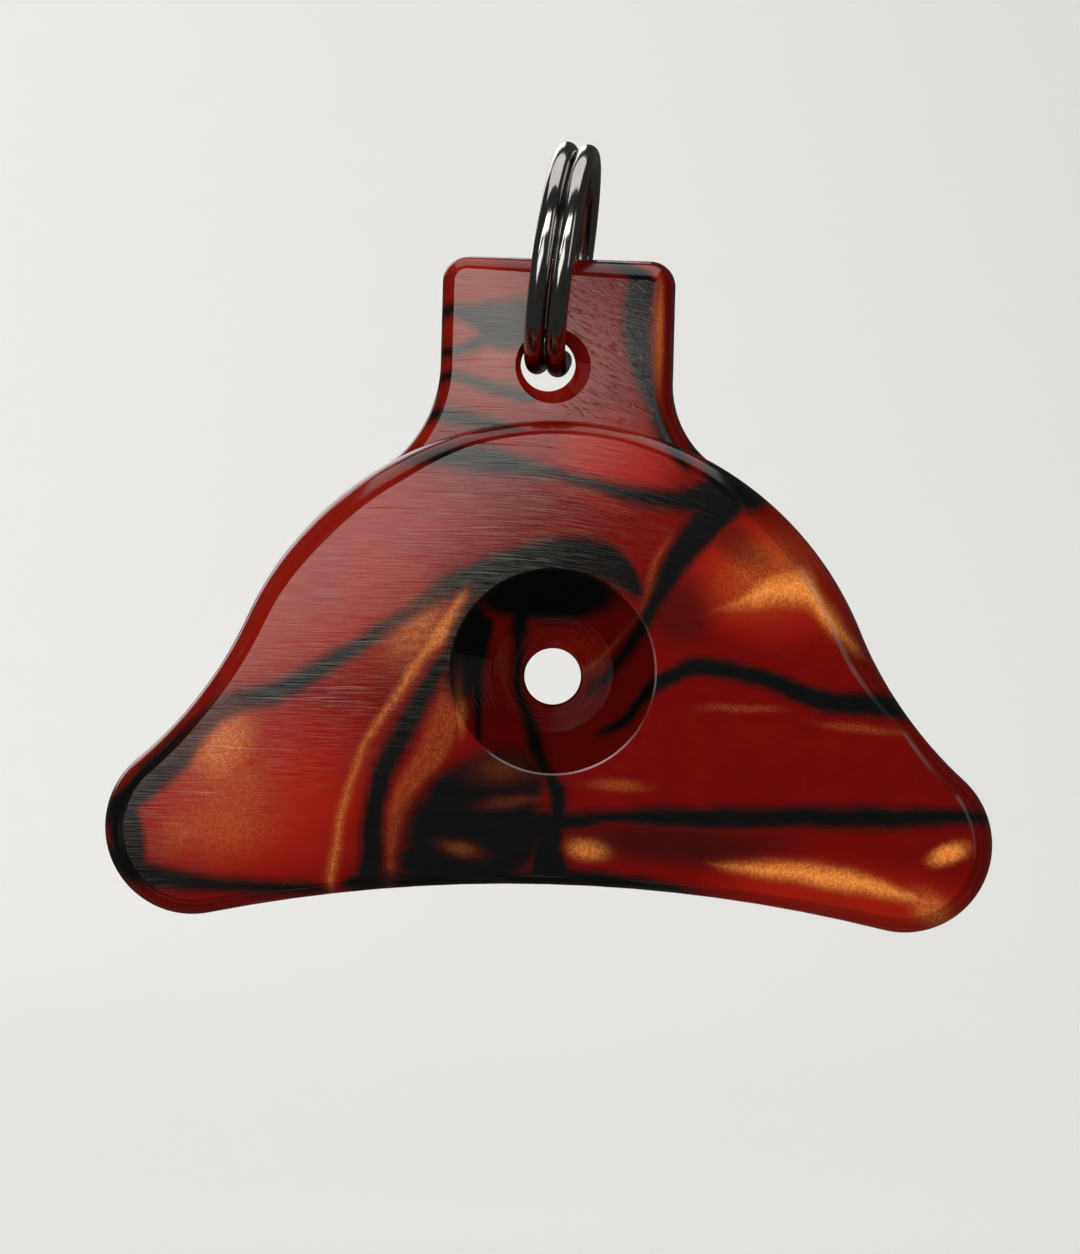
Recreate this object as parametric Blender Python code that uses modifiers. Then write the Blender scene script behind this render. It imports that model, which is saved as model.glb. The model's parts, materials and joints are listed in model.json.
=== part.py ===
"""A shepherd's whistle machined from one piece of swirled acrylic, hung on a steel split ring.

The whistle is a flat half-moon. A slot is cut into its concave mouth edge and opens a cavity
between two thin plates, and one air hole goes through both plates in the floor of a dish.
A thinner tab stands on top and carries the hole that the split ring is threaded through.

World axes: +X to the right across the whistle, +Y from its front face to its back face, +Z up.
The origin is the inside top of the split ring, where a lanyard or a hook bears.
The whistle's own axes start at the centre of the dish, with local +Z running up the tab.
"""
import math

import bmesh
import bpy
from mathutils import Matrix, Vector

MM = 0.001

# Whistle outline, seen from the front, from the dish centre (mm)
DOME_R = 16.91            # half-moon top
DOME_Z = -4.20            # height of its centre
CORNER_R = 4.44           # rounded mouth corners
CORNER_X = 18.06
CORNER_Z = -8.32
NECK_R = 20.41            # hollow flank between dome and corner
MOUTH_Z = -10.77          # highest point of the concave mouth edge

# Tab, thinner than the whistle and a little wider on its left
TAB_LEFT = 6.12
TAB_RIGHT = 5.74
TAB_TOP = 21.02
TAB_CORNER_R = 1.3
ROOT_LEFT_R = 6.5         # fillets where the tab's sides run out into the dome
ROOT_RIGHT_R = 4.95
TAB_BITE = 0.03           # depth by which those fillets enter the dome
TAB_FOOT_X = 7.2          # lower corner of the tab's plate, buried in the dome's wall
TAB_FOOT_Z = 9.0

# Thicknesses
BODY_T = 9.0
TAB_T = 4.0
SLOT_T = 4.4
EDGE_R = 0.77             # rounded edges of the whistle's faces
TAB_EDGE_LEFT = 0.60      # rounded edges of the tab, wider on the right
TAB_EDGE_RIGHT = 1.10

# Cavity behind the mouth slot
CAVITY_R = 12.7           # concentric with the dome
CAVITY_MOUTH_HALF = 17.0
CAVITY_OPEN_Z = -14.0     # just outside the mouth edge

# Dish and air hole
DISH_R = 5.15
DISH_FLOOR_R = 3.10
DISH_WALL_DEPTH = 1.20
DISH_DEPTH = 1.45
AIR_HOLE_R = 1.45
AIR_HOLE_DROP = 0.27      # the drill ran slightly below the dish's centre

# Hole in the tab
RING_HOLE_X = -0.65
RING_HOLE_Z = 15.63
RING_HOLE_R = 1.40
RING_SINK_X = -0.40       # countersink at both faces, which ran a little off the hole
RING_SINK_Z = 15.53
RING_SINK_R = 1.92
RING_SINK_DEPTH = 0.34

# Split ring
RING_OD = 12.0
WIRE_D = 1.05
COIL_PITCH = 1.08         # from one coil's centre to the other's
RING_LEAN = 8.4           # degrees, top towards +X
RING_YAW = 4.9            # degrees, far side towards +X
CROSS_AT = -35.0          # degrees above the ring's rear, where the wire changes coil
CROSS_HALF = 20.0         # half the arc over which it changes
END_GAP = 6.0             # arc from there to each end of the wire

# How the whistle hangs
HOLE_FROM_RING_X = -0.737 # ring hole's centre from the ring's centre
HOLE_FROM_RING_Z = -5.3685
HANG_TILT = 1.5           # degrees clockwise: the hole is off the whistle's middle

ARC_STEP = 4.5            # degrees between points along an outline's arcs
TURNED_STEPS = 56
CUT_CLEAR = 1.0           # how far a cutter stands clear of what it cuts
EDGE_SEGMENTS = 3
RING_POINTS_PER_TURN = 44

ACRYLIC = ("swirled_acrylic", (0.38, 0.045, 0.018, 1.0), 0.32, 0.0)
STEEL = ("dark_steel", (0.33, 0.32, 0.32, 1.0), 0.16, 1.0)


def clear_scene():
    for item in list(bpy.data.objects):
        bpy.data.objects.remove(item, do_unlink=True)


def make_collection(name):
    group = bpy.data.collections.new(name)
    bpy.context.scene.collection.children.link(group)
    return group


def make_material(name, colour, roughness, metallic):
    material = bpy.data.materials.new(name)
    material.use_nodes = True
    shader = material.node_tree.nodes["Principled BSDF"]
    shader.inputs["Base Color"].default_value = colour
    shader.inputs["Roughness"].default_value = roughness
    shader.inputs["Metallic"].default_value = metallic
    return material


def make_object(name, mesh, group, parent=None, location=(0.0, 0.0, 0.0)):
    item = bpy.data.objects.new(name, mesh)
    group.objects.link(item)
    item.parent = parent
    item.location = location
    return item


def make_cutter(name, mesh, group, parent, location=(0.0, 0.0, 0.0)):
    item = make_object(name, mesh, group, parent, location)
    item.hide_render = True
    item.display_type = "WIRE"
    return item


# ---------------------------------------------------------------- outlines

def arc(centre, radius, start, end):
    """Points along an arc, angles in degrees from +X, both ends included."""
    count = max(2, round(abs(end - start) / ARC_STEP))
    angles = [math.radians(start + (end - start) * i / count) for i in range(count + 1)]
    return [(centre[0] + radius * math.cos(a), centre[1] + radius * math.sin(a)) for a in angles]


def bearing(start, end):
    return math.degrees(math.atan2(end[1] - start[1], end[0] - start[0]))


def outer_tangent_centre(first, first_r, second, second_r, radius):
    """Centre of the circle that touches two circles from outside, on the +X side of both."""
    a = first_r + radius
    b = second_r + radius
    dx, dz = second[0] - first[0], second[1] - first[1]
    d = math.hypot(dx, dz)
    along = (a * a - b * b + d * d) / (2 * d)
    off = math.sqrt(a * a - along * along)
    return (first[0] + (along * dx - off * dz) / d, first[1] + (along * dz + off * dx) / d)


def without_repeats(points):
    kept = []
    for p in points:
        if not kept or math.dist(p, kept[-1]) > 1e-4:
            kept.append(p)
    if math.dist(kept[0], kept[-1]) < 1e-4:
        kept.pop()
    return kept


def mirrored(right):
    """A closed outline from its right half, which runs from the axis round to the axis."""
    left = [(-x, z) for x, z in reversed(right)]
    return without_repeats(right + left)


def whistle_outline():
    dome = (0.0, DOME_Z)
    corner = (CORNER_X, CORNER_Z)
    neck = outer_tangent_centre(dome, DOME_R, corner, CORNER_R, NECK_R)
    rise = CORNER_Z - MOUTH_Z
    mouth_r = (CORNER_X ** 2 + rise ** 2 - CORNER_R ** 2) / (2 * (CORNER_R - rise))
    mouth = (0.0, MOUTH_Z - mouth_r)
    to_mouth = bearing(corner, mouth)
    right = arc(dome, DOME_R, 90.0, bearing(dome, neck))
    right += arc(neck, NECK_R, bearing(neck, dome) + 360.0, bearing(neck, corner) + 360.0)
    right += arc(corner, CORNER_R, bearing(corner, neck), to_mouth)
    right += arc(mouth, mouth_r, bearing(mouth, corner), 90.0)
    return mirrored(without_repeats(right))


def tab_half(half_width, root_r):
    """Half of the tab, drawn to the right, from the middle of its top, as (point, direction
    into the tab)."""
    side_x = half_width + root_r
    reach = DOME_R + root_r - TAB_BITE
    root = (side_x, DOME_Z + math.sqrt(reach ** 2 - side_x ** 2))
    corner = (half_width - TAB_CORNER_R, TAB_TOP - TAB_CORNER_R)
    half = [((0.0, TAB_TOP), (0.0, -1.0))]
    for x, z in arc(corner, TAB_CORNER_R, 90.0, 0.0):
        half.append(((x, z), ((corner[0] - x) / TAB_CORNER_R, (corner[1] - z) / TAB_CORNER_R)))
    for x, z in arc(root, root_r, 180.0, bearing(root, (0.0, DOME_Z)) + 360.0):
        half.append(((x, z), ((x - root[0]) / root_r, (z - root[1]) / root_r)))
    half.append(((TAB_FOOT_X, TAB_FOOT_Z), (0.0, 0.0)))
    return half


def cavity_outline():
    right = arc((0.0, DOME_Z), CAVITY_R, 90.0, 0.0)
    right += [(CAVITY_MOUTH_HALF, CAVITY_OPEN_Z), (0.0, CAVITY_OPEN_Z)]
    return mirrored(right)


# ---------------------------------------------------------------- solids

def curve_to_mesh(name, curve):
    """The welded mesh of a curve, with its caps closed, for pieces that are cut or joined."""
    guide = bpy.data.objects.new(name, curve)
    bpy.context.scene.collection.objects.link(guide)
    bpy.context.view_layer.update()
    graph = bpy.context.evaluated_depsgraph_get()
    mesh = bpy.data.meshes.new_from_object(guide.evaluated_get(graph))
    bpy.data.objects.remove(guide, do_unlink=True)
    bpy.data.curves.remove(curve)
    mesh.name = name
    return mesh


def plate_mesh(name, outline, thickness):
    """An outline in mm made a plate that lies in the XZ plane, centred on Y = 0."""
    curve = bpy.data.curves.new(name, "CURVE")
    curve.dimensions = "2D"
    curve.fill_mode = "BOTH"
    curve.extrude = thickness * MM / 2
    spline = curve.splines.new("POLY")
    spline.points.add(len(outline) - 1)
    for point, (x, z) in zip(spline.points, outline):
        point.co = (x * MM, z * MM, 0.0, 1.0)
    spline.use_cyclic_u = True
    mesh = curve_to_mesh(name, curve)
    shape = bmesh.new()
    shape.from_mesh(mesh)
    bmesh.ops.remove_doubles(shape, verts=shape.verts, dist=1e-6)
    for side in (1, -1):
        cap = [f for f in shape.faces if f.normal.z * side > 0.9]
        bmesh.ops.dissolve_faces(shape, faces=cap)
    bmesh.ops.rotate(shape, verts=shape.verts, matrix=Matrix.Rotation(math.pi / 2, 3, "X"))
    bmesh.ops.recalc_face_normals(shape, faces=shape.faces)
    shape.to_mesh(mesh)
    shape.free()
    return mesh


def round_rim(item, width):
    """Rounds the edges round a plate's two faces."""
    mesh = item.data
    weights = mesh.attributes.new("bevel_weight_edge", "FLOAT", "EDGE")
    for edge in mesh.edges:
        a, b = (mesh.vertices[i].co for i in edge.vertices)
        weights.data[edge.index].value = float(abs(a.y - b.y) < 1e-6)
    bevel = item.modifiers.new("rounded_rim", "BEVEL")
    bevel.limit_method = "WEIGHT"
    bevel.width = width * MM
    bevel.segments = EDGE_SEGMENTS


def loft_mesh(name, sections):
    """A closed solid through sections that all have the same number of points."""
    shape = bmesh.new()
    rings = [[shape.verts.new(Vector(p) * MM) for p in section] for section in sections]
    for lower, upper in zip(rings, rings[1:]):
        for i in range(len(lower)):
            shape.faces.new((lower[i - 1], lower[i], upper[i], upper[i - 1]))
    shape.faces.new(rings[0])
    shape.faces.new(rings[-1])
    bmesh.ops.recalc_face_normals(shape, faces=shape.faces)
    mesh = bpy.data.meshes.new(name)
    shape.to_mesh(mesh)
    shape.free()
    return mesh


def turned_cutter(name, profile, group, parent, centre, facing):
    """A cutter turned about an axis along Y. The profile is (radius, depth) in mm, depth
    counted from the face it starts at; facing is -1 from the front and +1 from the back."""
    mesh = bpy.data.meshes.new(name)
    points = [(r * MM, 0.0, -depth * MM) for r, depth in profile]
    mesh.from_pydata(points, [(i, i + 1) for i in range(len(points) - 1)], [])
    item = make_cutter(name, mesh, group, parent, [c * MM for c in centre])
    item.rotation_euler = (-facing * math.pi / 2, 0.0, 0.0)
    screw = item.modifiers.new("turned", "SCREW")
    screw.steps = TURNED_STEPS
    screw.render_steps = TURNED_STEPS
    screw.use_merge_vertices = True
    screw.merge_threshold = 0.00001
    return item


def add_boolean(item, operation, other):
    boolean = item.modifiers.new(other.name, "BOOLEAN")
    boolean.operation = operation
    boolean.object = other


def shade(item, degrees=35.0):
    item.data.shade_smooth()
    item.data.set_sharp_from_angle(angle=math.radians(degrees))


# ---------------------------------------------------------------- sub-parts

def tab_edge(x):
    share = min(1.0, max(0.0, (x + TAB_LEFT) / (TAB_LEFT + TAB_RIGHT)))
    return TAB_EDGE_LEFT + (TAB_EDGE_RIGHT - TAB_EDGE_LEFT) * share


def tab_section(outline, side, turn):
    """One section of the tab's rounded edge, turn degrees round it from the flat face."""
    section = []
    for (x, z), (into_x, into_z) in outline:
        edge = tab_edge(x)
        inset = edge * (1.0 - math.sin(math.radians(turn)))
        depth = edge * (1.0 - math.cos(math.radians(turn)))
        section.append((x + into_x * inset, side * (TAB_T / 2 - depth), z + into_z * inset))
    return section


def make_tab(group, parent):
    right = tab_half(TAB_RIGHT, ROOT_RIGHT_R)
    left = [((-x, z), (-into_x, into_z))
            for (x, z), (into_x, into_z) in reversed(tab_half(TAB_LEFT, ROOT_LEFT_R)[1:])]
    turns = [90.0 * i / EDGE_SEGMENTS for i in range(EDGE_SEGMENTS + 1)]
    sections = [tab_section(right + left, -1, turn) for turn in turns]
    sections += [tab_section(right + left, 1, turn) for turn in reversed(turns)]
    tab = make_cutter("tab_blank", loft_mesh("tab_blank", sections), group, parent)
    add_boolean(tab, "DIFFERENCE", make_ring_hole(group, parent))
    return tab


def make_dish(name, facing, group, parent):
    profile = [
        (0.0, -CUT_CLEAR),
        (DISH_R, -CUT_CLEAR),
        (DISH_R, 0.0),
        (DISH_FLOOR_R, DISH_WALL_DEPTH),
        (AIR_HOLE_R / 2, DISH_DEPTH),
        (0.0, DISH_DEPTH),
    ]
    face = (0.0, facing * BODY_T / 2, 0.0)
    return turned_cutter(name, profile, group, parent, face, facing)


def make_air_hole(group, parent):
    through = BODY_T + CUT_CLEAR
    profile = [(0.0, -CUT_CLEAR), (AIR_HOLE_R, -CUT_CLEAR), (AIR_HOLE_R, through), (0.0, through)]
    face = (0.0, -BODY_T / 2, -AIR_HOLE_DROP)
    return turned_cutter("air_hole", profile, group, parent, face, -1)


def make_ring_hole(group, parent):
    """The straight hole and its two countersinks, in one cutter."""
    hole = (RING_HOLE_X, RING_HOLE_Z, RING_HOLE_R)
    sink = (RING_SINK_X, RING_SINK_Z, RING_SINK_R)
    face = TAB_T / 2
    floor = face - RING_SINK_DEPTH
    sections = []
    for (x, z, radius), y in ((sink, -face - CUT_CLEAR), (sink, -face), (hole, -floor),
                              (hole, floor), (sink, face), (sink, face + CUT_CLEAR)):
        turns = [2 * math.pi * i / TURNED_STEPS for i in range(TURNED_STEPS)]
        sections.append([(x + radius * math.cos(a), y, z + radius * math.sin(a)) for a in turns])
    return make_cutter("ring_hole", loft_mesh("ring_hole", sections), group, parent, (0.0, 0.0, 0.0))


def make_whistle(group, cutters, dish_centre):
    mesh = plate_mesh("whistle_body", whistle_outline(), BODY_T)
    whistle = make_object("whistle_body", mesh, group, dish_centre)
    round_rim(whistle, EDGE_R)
    cavity = make_cutter("cavity", plate_mesh("cavity", cavity_outline(), SLOT_T),
                         cutters, dish_centre)
    add_boolean(whistle, "DIFFERENCE", cavity)
    add_boolean(whistle, "DIFFERENCE", make_dish("front_dish", -1, cutters, dish_centre))
    add_boolean(whistle, "DIFFERENCE", make_dish("back_dish", 1, cutters, dish_centre))
    add_boolean(whistle, "DIFFERENCE", make_air_hole(cutters, dish_centre))
    add_boolean(whistle, "UNION", make_tab(cutters, dish_centre))
    shade(whistle)
    whistle.data.materials.append(make_material(*ACRYLIC))
    return whistle


def coil_offset(turn):
    """Side offset of the wire, in mm, turn degrees along it from the middle of the change."""
    share = min(1.0, max(-1.0, turn / CROSS_HALF))
    return COIL_PITCH / 2 * math.sin(share * math.pi / 2)


def coil_points():
    """The wire's centre line in the ring's own axes, the ring's axis along X. It makes most of
    a turn in one coil, changes over, and makes most of a turn in the other."""
    radius = (RING_OD - WIRE_D) / 2
    reach = 360.0 - CROSS_HALF - END_GAP
    count = round(2 * RING_POINTS_PER_TURN * reach / 360.0)
    points = []
    for i in range(count + 1):
        turn = -reach + 2 * reach * i / count
        angle = math.radians(CROSS_AT + turn)
        points.append((coil_offset(turn), radius * math.cos(angle), radius * math.sin(angle)))
    return points


def make_split_ring(group, ring_centre):
    curve = bpy.data.curves.new("split_ring", "CURVE")
    curve.dimensions = "3D"
    curve.bevel_depth = WIRE_D * MM / 2
    curve.bevel_resolution = 4
    curve.use_fill_caps = True
    points = coil_points()
    spline = curve.splines.new("POLY")
    spline.points.add(len(points) - 1)
    for point, place in zip(spline.points, points):
        point.co = (*[c * MM for c in place], 1.0)
    curve.materials.append(make_material(*STEEL))
    return make_object("split_ring", curve, group, ring_centre)


def make_empty(name, group, parent=None, location=(0.0, 0.0, 0.0), turn=(0.0, 0.0, 0.0)):
    empty = make_object(name, None, group, parent, location)
    empty.rotation_euler = turn
    return empty


def main():
    clear_scene()
    parts = make_collection("shepherd_whistle")
    cutters = make_collection("cutters")
    hang_point = make_empty("hang_point", parts)

    lean = Matrix.Rotation(math.radians(RING_LEAN), 3, "Y")
    yaw = Matrix.Rotation(-math.radians(RING_YAW), 3, "Z")
    ring_place = lean @ Vector((0.0, 0.0, WIRE_D - RING_OD / 2)) * MM
    ring_turn = (lean @ yaw).to_euler()
    ring_centre = make_empty("ring_centre", parts, hang_point, ring_place, ring_turn)
    make_split_ring(parts, ring_centre)

    from_ring = Vector((HOLE_FROM_RING_X, 0.0, HOLE_FROM_RING_Z)) * MM
    swing_axis = make_empty("swing_axis", parts, hang_point, ring_place + from_ring,
                            (0.0, math.radians(HANG_TILT), 0.0))
    dish_centre = make_empty("dish_centre", parts, swing_axis,
                             (-RING_HOLE_X * MM, 0.0, -RING_HOLE_Z * MM))
    make_whistle(parts, cutters, dish_centre)


main()
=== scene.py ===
"""The looks of a shepherd's whistle: swirled pearl acrylic on a dark split ring.

Lengths are in millimetres until a mesh or an object is made, and materials work in millimetres too.
The whistle's own axes start at the centre of its dish: x to the right, y to the back, z up the tab.
"""
import json
import math

import bmesh
import bpy
import numpy as np
from mathutils import Matrix, Vector


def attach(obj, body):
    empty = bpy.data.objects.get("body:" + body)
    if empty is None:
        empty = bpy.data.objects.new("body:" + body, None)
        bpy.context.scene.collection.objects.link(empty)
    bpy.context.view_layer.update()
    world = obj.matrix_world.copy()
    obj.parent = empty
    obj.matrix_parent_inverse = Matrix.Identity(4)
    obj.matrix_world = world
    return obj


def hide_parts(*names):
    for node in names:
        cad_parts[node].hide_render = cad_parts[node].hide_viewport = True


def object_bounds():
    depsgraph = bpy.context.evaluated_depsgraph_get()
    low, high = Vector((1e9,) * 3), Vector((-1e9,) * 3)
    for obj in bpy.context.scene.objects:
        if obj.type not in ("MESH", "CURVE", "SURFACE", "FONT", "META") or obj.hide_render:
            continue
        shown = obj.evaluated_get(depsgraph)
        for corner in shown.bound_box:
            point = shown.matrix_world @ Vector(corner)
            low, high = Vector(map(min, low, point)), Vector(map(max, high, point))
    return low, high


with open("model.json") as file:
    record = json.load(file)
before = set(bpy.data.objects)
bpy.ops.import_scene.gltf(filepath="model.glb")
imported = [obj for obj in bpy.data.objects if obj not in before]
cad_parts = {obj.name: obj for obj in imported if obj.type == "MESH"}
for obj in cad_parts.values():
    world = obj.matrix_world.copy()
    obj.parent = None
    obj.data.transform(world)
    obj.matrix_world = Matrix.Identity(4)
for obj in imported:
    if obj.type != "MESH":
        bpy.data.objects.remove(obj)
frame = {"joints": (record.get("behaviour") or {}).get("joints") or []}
CAD_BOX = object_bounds()

MM = 0.001

# Whistle outline
DOME_R = 16.91
DOME_Z = -4.20
CORNER_R = 4.44
CORNER_X = 18.06
CORNER_Z = -8.32
NECK_R = 20.41
MOUTH_Z = -10.77

# Tab
TAB_LEFT = 6.12
TAB_RIGHT = 5.74
TAB_TOP = 21.02
TAB_CORNER_R = 1.3
ROOT_LEFT_R = 6.5
ROOT_RIGHT_R = 4.95
TAB_BITE = 0.03
TAB_FOOT_X = 7.2
TAB_FOOT_Z = 9.0

# Thicknesses and edges
BODY_T = 9.0
TAB_T = 4.0
SLOT_T = 4.4
# Width of the faces' rounded edge at each bearing from the dish: (degrees, width)
EDGE_WIDTHS = [(4, 1.35), (18, 1.45), (35, 1.3), (55, 0.9), (75, 0.7), (92, 0.7), (112, 0.8),
               (128, 1.15), (150, 1.2), (165, 1.0), (187, 0.9), (198, 1.05), (208, 0.9),
               (225, 0.6), (270, 0.45), (315, 0.6), (333, 0.9), (344, 1.05), (353, 0.75)]
EDGE_START = 26.0         # degrees the rounding is already turned by where it leaves the face
TAB_EDGE_LEFT = 0.60
TAB_EDGE_RIGHT = 1.10

# Cavity, dish and holes
CAVITY_R = 12.7
CAVITY_MOUTH_HALF = 17.0
CAVITY_OPEN_Z = -14.0
DISH_R = 5.15
DISH_FLOOR_R = 3.10
DISH_WALL_DEPTH = 1.20
DISH_DEPTH = 1.45
DISH_FOOT_IN = 0.04       # the step from the wall's foot to the sloping floor
DISH_FOOT_DOWN = 0.05
DISH_LIP = 0.10           # width of the shallow chamfer round the dish
DISH_LIP_DEPTH = 0.038
GROOVES = 8
GROOVE_DEPTH = 0.002
GROOVE_STEPS = 6
AIR_HOLE_R = 1.45
AIR_HOLE_DROP = 0.27      # its centre lies this far below the dish's
AIR_HOLE_LIP = 0.07
AIR_HOLE_RISE = 0.06      # from the dish's deepest point up to the hole's lip
RING_HOLE_X = -0.65
RING_HOLE_Z = 15.63
RING_HOLE_R = 1.40
RING_SINK_X = -0.40       # the countersinks ran a little off the hole
RING_SINK_Z = 15.53
RING_SINK_R = 1.92
RING_SINK_DEPTH = 0.34
SLOT_LIP = 0.22

HANG_TILT = 1.5           # degrees clockwise

# Split ring
RING_OD = 12.0
WIRE_D = 1.05
COIL_PITCH = 1.08
RING_LEAN = 8.4           # degrees, top towards +X
RING_YAW = 4.9            # degrees, far side towards +X
CROSS_AT = -35.0          # degrees above the ring's rear, where the wire changes coil
CROSS_HALF = 20.0         # half the arc over which it changes
END_GAP = 6.0             # arc from there to each end of the wire
WIRE_END = [0.62, 0.84, 0.95]   # shares of the wire's radius at its last points
WIRE_SIDES = 32
WIRE_POINTS_PER_TURN = 150

# Fineness
ARC_STEP = 1.5            # degrees
EDGE_SEGMENTS = 8
LIP_SEGMENTS = 4
TURNED_STEPS = 144
CUT_CLEAR = 1.0           # how far a cutter stands clear of what it cuts
TOUCH = 0.01              # what lies this near a surface counts as on it
LEVEL = 0.9999            # share of a flat face's normal that runs along Y
WHISTLE_CREASE = 24.0     # degrees between faces from which their edge is a crease
RING_CREASE = 50.0


# ---------------------------------------------------------------- outlines

def arc(centre, radius, start, end):
    """Points along an arc, angles in degrees from +X, both ends included."""
    count = max(4, round(abs(end - start) / ARC_STEP))
    points = []
    for i in range(count + 1):
        a = math.radians(start + (end - start) * i / count)
        points.append((centre[0] + radius * math.cos(a), centre[1] + radius * math.sin(a)))
    return points


def bearing(start, end):
    return math.degrees(math.atan2(end[1] - start[1], end[0] - start[0]))


def outer_tangent_centre(first, first_r, second, second_r, radius):
    """Centre of the circle that touches two circles from outside, on the +X side of both."""
    a, b = first_r + radius, second_r + radius
    dx, dz = second[0] - first[0], second[1] - first[1]
    d = math.hypot(dx, dz)
    along = (a * a - b * b + d * d) / (2 * d)
    off = math.sqrt(a * a - along * along)
    return (first[0] + (along * dx - off * dz) / d, first[1] + (along * dz + off * dx) / d)


def closed(points):
    """An outline without the points that repeat where its stretches meet."""
    kept = []
    for p in points:
        if not kept or math.dist(p, kept[-1]) > 1e-3:
            kept.append(p)
    if math.dist(kept[0], kept[-1]) < 1e-3:
        kept.pop()
    return kept


def mirror(right):
    return [(-x, z) for x, z in reversed(right)]


def whistle_outline():
    dome = (0.0, DOME_Z)
    corner = (CORNER_X, CORNER_Z)
    neck = outer_tangent_centre(dome, DOME_R, corner, CORNER_R, NECK_R)
    rise = CORNER_Z - MOUTH_Z
    mouth_r = (CORNER_X ** 2 + rise ** 2 - CORNER_R ** 2) / (2 * (CORNER_R - rise))
    mouth = (0.0, MOUTH_Z - mouth_r)
    right = arc(dome, DOME_R, 90.0, bearing(dome, neck))
    right += arc(neck, NECK_R, bearing(neck, dome) + 360.0, bearing(neck, corner) + 360.0)
    right += arc(corner, CORNER_R, bearing(corner, neck), bearing(corner, mouth))
    right += arc(mouth, mouth_r, bearing(mouth, corner), 90.0)
    return closed(right + mirror(right))


def tab_half(half_width, root_r):
    """Half of the tab, drawn to the right, from the middle of its top to that of its foot."""
    side_x = half_width + root_r
    reach = DOME_R + root_r - TAB_BITE
    root = (side_x, DOME_Z + math.sqrt(reach ** 2 - side_x ** 2))
    corner = (half_width - TAB_CORNER_R, TAB_TOP - TAB_CORNER_R)
    half = [(0.0, TAB_TOP)]
    half += arc(corner, TAB_CORNER_R, 90.0, 0.0)
    half += arc(root, root_r, 180.0, bearing(root, (0.0, DOME_Z)) + 360.0)
    return half + [(TAB_FOOT_X, TAB_FOOT_Z), (0.0, TAB_FOOT_Z)]


def tab_outline():
    return closed(tab_half(TAB_RIGHT, ROOT_RIGHT_R) + mirror(tab_half(TAB_LEFT, ROOT_LEFT_R)))


def cavity_outline():
    right = arc((0.0, DOME_Z), CAVITY_R, 90.0, 0.0)
    right += [(CAVITY_MOUTH_HALF, CAVITY_OPEN_Z), (0.0, CAVITY_OPEN_Z)]
    return closed(right + mirror(right))


# ---------------------------------------------------------------- meshes

def mesh_from(name, build):
    shape = bmesh.new()
    build(shape)
    bmesh.ops.recalc_face_normals(shape, faces=shape.faces)
    mesh = bpy.data.meshes.new(name)
    shape.to_mesh(mesh)
    shape.free()
    return mesh


def circle(shape, x, y, z, radius):
    """A ring of points about an axis along Y."""
    turns = [2 * math.pi * i / TURNED_STEPS for i in range(TURNED_STEPS)]
    return [shape.verts.new(Vector((x + radius * math.cos(a), y, z + radius * math.sin(a))) * MM)
            for a in turns]


def bridge(shape, rings):
    """Walls from each ring of points to the next, and a cap on the first and the last."""
    for lower, upper in zip(rings, rings[1:]):
        for i in range(len(lower)):
            shape.faces.new((lower[i - 1], lower[i], upper[i], upper[i - 1]))
    shape.faces.new(rings[0])
    shape.faces.new(rings[-1])


def plate_mesh(name, outline, thickness, edge=None):
    """A plate in the XZ plane, with rounded edges, crisp at the faces, as wide as edge(x, z)."""
    points = np.array(outline)
    along = np.roll(points, -1, axis=0) - np.roll(points, 1, axis=0)
    along /= np.linalg.norm(along, axis=1)[:, None]
    inward = np.stack([along[:, 1], -along[:, 0]], axis=1)
    width = np.array([edge(x, z) for x, z in outline]) if edge else np.zeros(len(outline))
    first = math.radians(EDGE_START)
    turns = [90.0]
    if edge:
        turns = [EDGE_START + (90.0 - EDGE_START) * i / EDGE_SEGMENTS
                 for i in range(EDGE_SEGMENTS + 1)]

    def section(shape, side, turn):
        radius = width / (1.0 - math.sin(first))
        inset = radius * (1.0 - math.sin(math.radians(turn)))
        depth = radius * (math.cos(first) - math.cos(math.radians(turn)))
        places = points + inward * inset[:, None]
        heights = side * (thickness / 2 - depth)
        return [shape.verts.new(Vector((x, y, z)) * MM) for (x, z), y in zip(places, heights)]

    def build(shape):
        rings = [section(shape, -1, turn) for turn in turns]
        rings += [section(shape, 1, turn) for turn in reversed(turns)]
        bridge(shape, rings)

    return mesh_from(name, build)


def turned_mesh(name, profile, centre, facing):
    """A closed solid turned about an axis along Y. The profile is (radius, depth) from axis to
    axis, depth counted from the face it starts at; facing is -1 from the front, 1 from the back."""
    def build(shape):
        rings = []
        for radius, depth in profile:
            y = centre[1] - facing * depth
            if radius == 0.0:
                rings.append([shape.verts.new(Vector((centre[0], y, centre[2])) * MM)])
            else:
                rings.append(circle(shape, centre[0], y, centre[2], radius))
        for lower, upper in zip(rings, rings[1:]):
            for i in range(TURNED_STEPS):
                if len(lower) == 1:
                    shape.faces.new((lower[0], upper[i], upper[i - 1]))
                elif len(upper) == 1:
                    shape.faces.new((lower[i - 1], lower[i], upper[0]))
                else:
                    shape.faces.new((lower[i - 1], lower[i], upper[i], upper[i - 1]))

    return mesh_from(name, build)


def add_object(name, mesh):
    item = bpy.data.objects.new(name, mesh)
    bpy.context.scene.collection.objects.link(item)
    return item


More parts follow.
